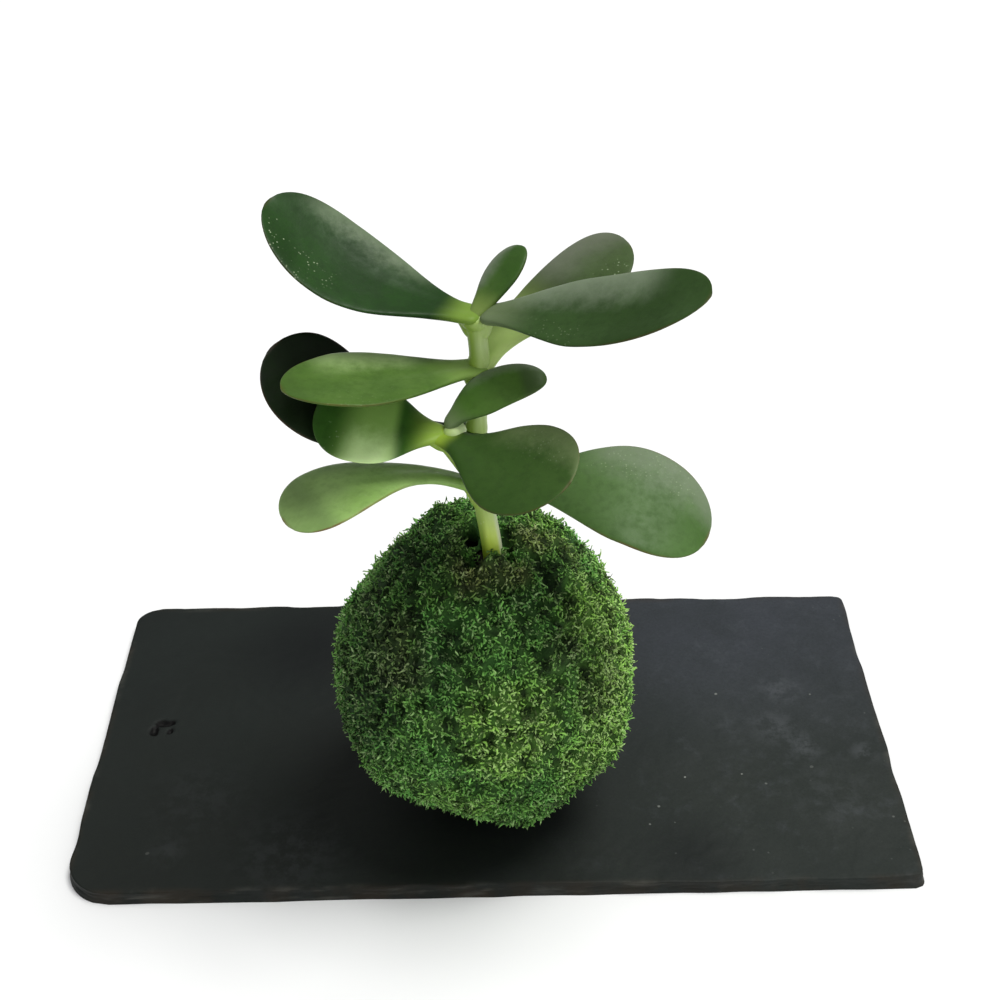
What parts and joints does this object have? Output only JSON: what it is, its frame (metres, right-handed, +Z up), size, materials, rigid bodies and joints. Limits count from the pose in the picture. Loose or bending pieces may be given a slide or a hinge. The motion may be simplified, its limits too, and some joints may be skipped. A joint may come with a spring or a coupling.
{
  "type": "kokedama moss ball plant",
  "caption": "Moss-wrapped soil ball with a fleshy-leaved plant growing from its top, standing on a rectangular slate plate.",
  "frame": {"origin": "centre of the slate plate's underside", "axes": "+X along the plate's long side, +Y to its back, +Z up"},
  "size_m": [0.2498, 0.1311, 0.1894],
  "materials": {
    "slate": "riven, matt with a faint sheen",
    "moss": "living moss, tufted",
    "soil": "damp potting soil",
    "stem": "smooth green stem",
    "leaf": "fleshy leaf, waxy satin",
    "leaf_pale": "fleshy light green leaf, waxy satin"
  },
  "bodies": {
    "root": {"slate_plate": "slate", "moss_cover": "moss", "soil_ball": "soil", "stem": "stem", "leaf_top_left": "leaf", "leaf_top_right": "leaf", "leaf_top_young": "leaf", "leaf_upper_right": "leaf", "leaf_upper_left": "leaf_pale", "leaf_back_left": "leaf", "leaf_shoot_left": "leaf", "leaf_shoot_front": "leaf", "leaf_shoot_small": "leaf", "leaf_low_left": "leaf_pale", "leaf_low_right": "leaf"}
  },
  "joints": []
}
